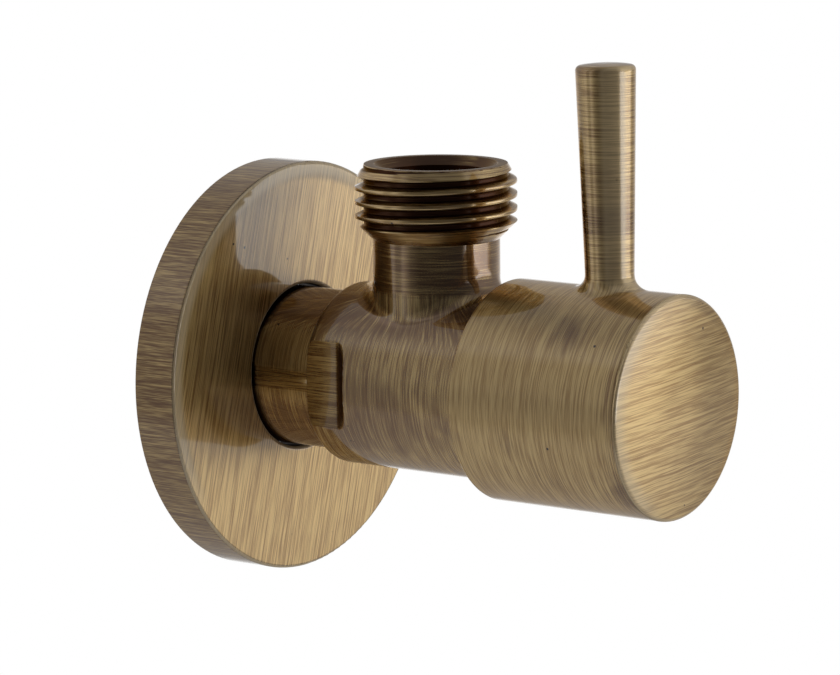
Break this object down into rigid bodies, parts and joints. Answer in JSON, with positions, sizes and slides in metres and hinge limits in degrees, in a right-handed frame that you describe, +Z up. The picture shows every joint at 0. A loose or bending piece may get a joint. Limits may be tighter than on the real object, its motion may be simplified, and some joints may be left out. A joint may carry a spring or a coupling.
{
  "type": "angle isolating valve",
  "caption": "Quarter-turn angle isolating valve in aged brass, with a round rosette, a threaded outlet pointing up and a knob with a tapered lever.",
  "frame": {"origin": "on the inlet axis, in the plane of the wall that the rosette stands on", "axes": "+Y into the wall along the inlet tail, +Z up along the outlet, +X to the right seen from the front"},
  "size_m": [0.054, 0.0768, 0.0696],
  "materials": {
    "aged_brass": "brushed and darkened",
    "plain_brass": "turned",
    "black_rubber": "smooth",
    "white_ceramic": "lapped ceramic",
    "white_plastic": "moulded",
    "spring_steel": "ground"
  },
  "bodies": {
    "valve": {"body": "aged_brass", "headwork_housing": "plain_brass", "housing_gasket": "black_rubber", "seat_seal": "black_rubber", "seal_support_ring": "plain_brass", "fixed_disc": "white_ceramic"},
    "handle": {"handle": "aged_brass", "spline_bush": "white_plastic", "handle_grub_screw": "spring_steel", "spindle": "plain_brass", "spindle_clip": "spring_steel", "stop_ring": "white_plastic", "moving_disc": "white_ceramic", "thrust_washer": "white_plastic", "spindle_o_ring_inner": "black_rubber", "spindle_o_ring_outer": "black_rubber"},
    "rosette": {"rosette": "aged_brass"}
  },
  "joints": [
    {"name": "handle_turn", "type": "hinge", "parent": "valve", "child": "handle", "pos_m": [0, -0.0582, 0], "axis": [0, 1, 0], "range_deg": [0, 90]},
    {"name": "rosette_slide", "type": "slide", "parent": "valve", "child": "rosette", "axis": [0, -1, 0], "range_m": [0, 0.0085]}
  ]
}
